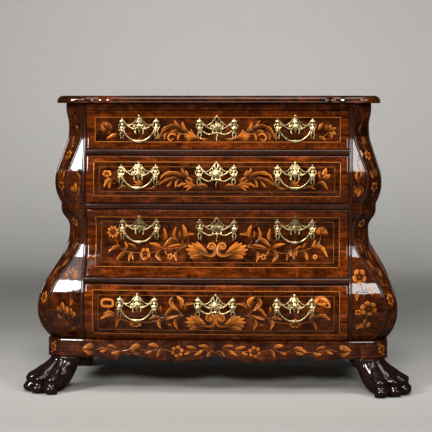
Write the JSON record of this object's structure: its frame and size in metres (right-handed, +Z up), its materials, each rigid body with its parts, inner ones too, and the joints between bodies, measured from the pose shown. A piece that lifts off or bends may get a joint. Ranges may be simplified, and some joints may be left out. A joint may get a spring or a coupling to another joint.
{
  "type": "bombe chest of drawers",
  "caption": "Bombe chest of drawers in veneered wood on lion's paw feet, with bowed swelling drawers, canted corners and swag drop handles.",
  "frame": {"origin": "on the floor, half way across the width over the paws and half way between the toes and the back", "axes": "+Z up, -Y the front that the drawers pull out of, +X along the width"},
  "size_m": [1.03, 0.585, 0.8],
  "materials": {
    "walnut": "gloss",
    "oak": "satin",
    "brass": "satin",
    "iron": "satin"
  },
  "bodies": {
    "carcass": {"back_boards": "oak", "carcass_bottom": "oak", "corner_post_left": "walnut", "corner_post_right": "walnut", "drawer_guides": "oak", "drawer_rails": "walnut", "drawer_stops": "oak", "dust_boards": "oak", "frieze_rail": "walnut", "front_apron": "walnut", "front_foot_left": "walnut", "front_foot_right": "walnut", "plinth_blocks": "iron", "rear_apron": "oak", "rear_corner_blocks": "iron", "rear_feet": "walnut", "side_aprons": "walnut", "side_left": "walnut", "side_right": "walnut", "top_board": "walnut"},
    "drawer_1": {"drawer_1_front": "walnut", "drawer_1_linings": "oak", "drawer_1_bottom": "oak", "drawer_1_lock_case": "iron", "drawer_1_escutcheon": "brass", "drawer_1_pull_plates": "brass", "drawer_1_pull_posts": "brass"},
    "drawer_1_bail_left": {"drawer_1_bail_left": "brass"},
    "drawer_1_bail_right": {"drawer_1_bail_right": "brass"},
    "drawer_1_lock_bolt": {"drawer_1_lock_bolt": "iron"},
    "drawer_2": {"drawer_2_front": "walnut", "drawer_2_linings": "oak", "drawer_2_bottom": "oak", "drawer_2_lock_case": "iron", "drawer_2_escutcheon": "brass", "drawer_2_pull_plates": "brass", "drawer_2_pull_posts": "brass"},
    "drawer_2_bail_left": {"drawer_2_bail_left": "brass"},
    "drawer_2_bail_right": {"drawer_2_bail_right": "brass"},
    "drawer_2_lock_bolt": {"drawer_2_lock_bolt": "iron"},
    "drawer_3": {"drawer_3_front": "walnut", "drawer_3_linings": "oak", "drawer_3_bottom": "oak", "drawer_3_lock_case": "iron", "drawer_3_escutcheon": "brass", "drawer_3_pull_plates": "brass", "drawer_3_pull_posts": "brass"},
    "drawer_3_bail_left": {"drawer_3_bail_left": "brass"},
    "drawer_3_bail_right": {"drawer_3_bail_right": "brass"},
    "drawer_3_lock_bolt": {"drawer_3_lock_bolt": "iron"},
    "drawer_4": {"drawer_4_front": "walnut", "drawer_4_linings": "oak", "drawer_4_bottom": "oak", "drawer_4_lock_case": "iron", "drawer_4_escutcheon": "brass", "drawer_4_pull_plates": "brass", "drawer_4_pull_posts": "brass"},
    "drawer_4_bail_left": {"drawer_4_bail_left": "brass"},
    "drawer_4_bail_right": {"drawer_4_bail_right": "brass"},
    "drawer_4_lock_bolt": {"drawer_4_lock_bolt": "iron"}
  },
  "joints": [
    {"name": "drawer_1_slide", "type": "slide", "parent": "carcass", "child": "drawer_1", "axis": [0, -1, 0], "range_m": [0, 0.3]},
    {"name": "drawer_1_bail_left_hinge", "type": "hinge", "parent": "drawer_1", "child": "drawer_1_bail_left", "pos_m": [-0.21071, -0.19464, 0.7065], "axis": [-0.9989, 0.0472, 0], "range_deg": [-6, 165]},
    {"name": "drawer_1_bail_right_hinge", "type": "hinge", "parent": "drawer_1", "child": "drawer_1_bail_right", "pos_m": [0.21071, -0.19464, 0.7065], "axis": [-0.9989, -0.0472, 0], "range_deg": [-6, 165]},
    {"name": "drawer_1_lock_bolt_slide", "type": "slide", "parent": "drawer_1", "child": "drawer_1_lock_bolt", "axis": [0, 0, 1], "range_m": [0, 0.008]},
    {"name": "drawer_2_slide", "type": "slide", "parent": "carcass", "child": "drawer_2", "axis": [0, -1, 0], "range_m": [0, 0.3]},
    {"name": "drawer_2_bail_left_hinge", "type": "hinge", "parent": "drawer_2", "child": "drawer_2_bail_left", "pos_m": [-0.2107, -0.22748, 0.582], "axis": [-0.9989, 0.0469, 0], "range_deg": [-6, 165]},
    {"name": "drawer_2_bail_right_hinge", "type": "hinge", "parent": "drawer_2", "child": "drawer_2_bail_right", "pos_m": [0.2107, -0.22748, 0.582], "axis": [-0.9989, -0.0469, 0], "range_deg": [-6, 165]},
    {"name": "drawer_2_lock_bolt_slide", "type": "slide", "parent": "drawer_2", "child": "drawer_2_lock_bolt", "axis": [0, 0, 1], "range_m": [0, 0.008]},
    {"name": "drawer_3_slide", "type": "slide", "parent": "carcass", "child": "drawer_3", "axis": [0, -1, 0], "range_m": [0, 0.3]},
    {"name": "drawer_3_bail_left_hinge", "type": "hinge", "parent": "drawer_3", "child": "drawer_3_bail_left", "pos_m": [-0.21071, -0.1941, 0.434], "axis": [-0.9989, 0.0472, 0], "range_deg": [-6, 165]},
    {"name": "drawer_3_bail_right_hinge", "type": "hinge", "parent": "drawer_3", "child": "drawer_3_bail_right", "pos_m": [0.21071, -0.1941, 0.434], "axis": [-0.9989, -0.0472, 0], "range_deg": [-6, 165]},
    {"name": "drawer_3_lock_bolt_slide", "type": "slide", "parent": "drawer_3", "child": "drawer_3_lock_bolt", "axis": [0, 0, 1], "range_m": [0, 0.008]},
    {"name": "drawer_4_slide", "type": "slide", "parent": "carcass", "child": "drawer_4", "axis": [0, -1, 0], "range_m": [0, 0.3]},
    {"name": "drawer_4_bail_left_hinge", "type": "hinge", "parent": "drawer_4", "child": "drawer_4_bail_left", "pos_m": [-0.2107, -0.27179, 0.23], "axis": [-0.9989, 0.0464, 0], "range_deg": [-6, 165]},
    {"name": "drawer_4_bail_right_hinge", "type": "hinge", "parent": "drawer_4", "child": "drawer_4_bail_right", "pos_m": [0.2107, -0.27179, 0.23], "axis": [-0.9989, -0.0464, 0], "range_deg": [-6, 165]},
    {"name": "drawer_4_lock_bolt_slide", "type": "slide", "parent": "drawer_4", "child": "drawer_4_lock_bolt", "axis": [0, 0, 1], "range_m": [0, 0.008]}
  ]
}
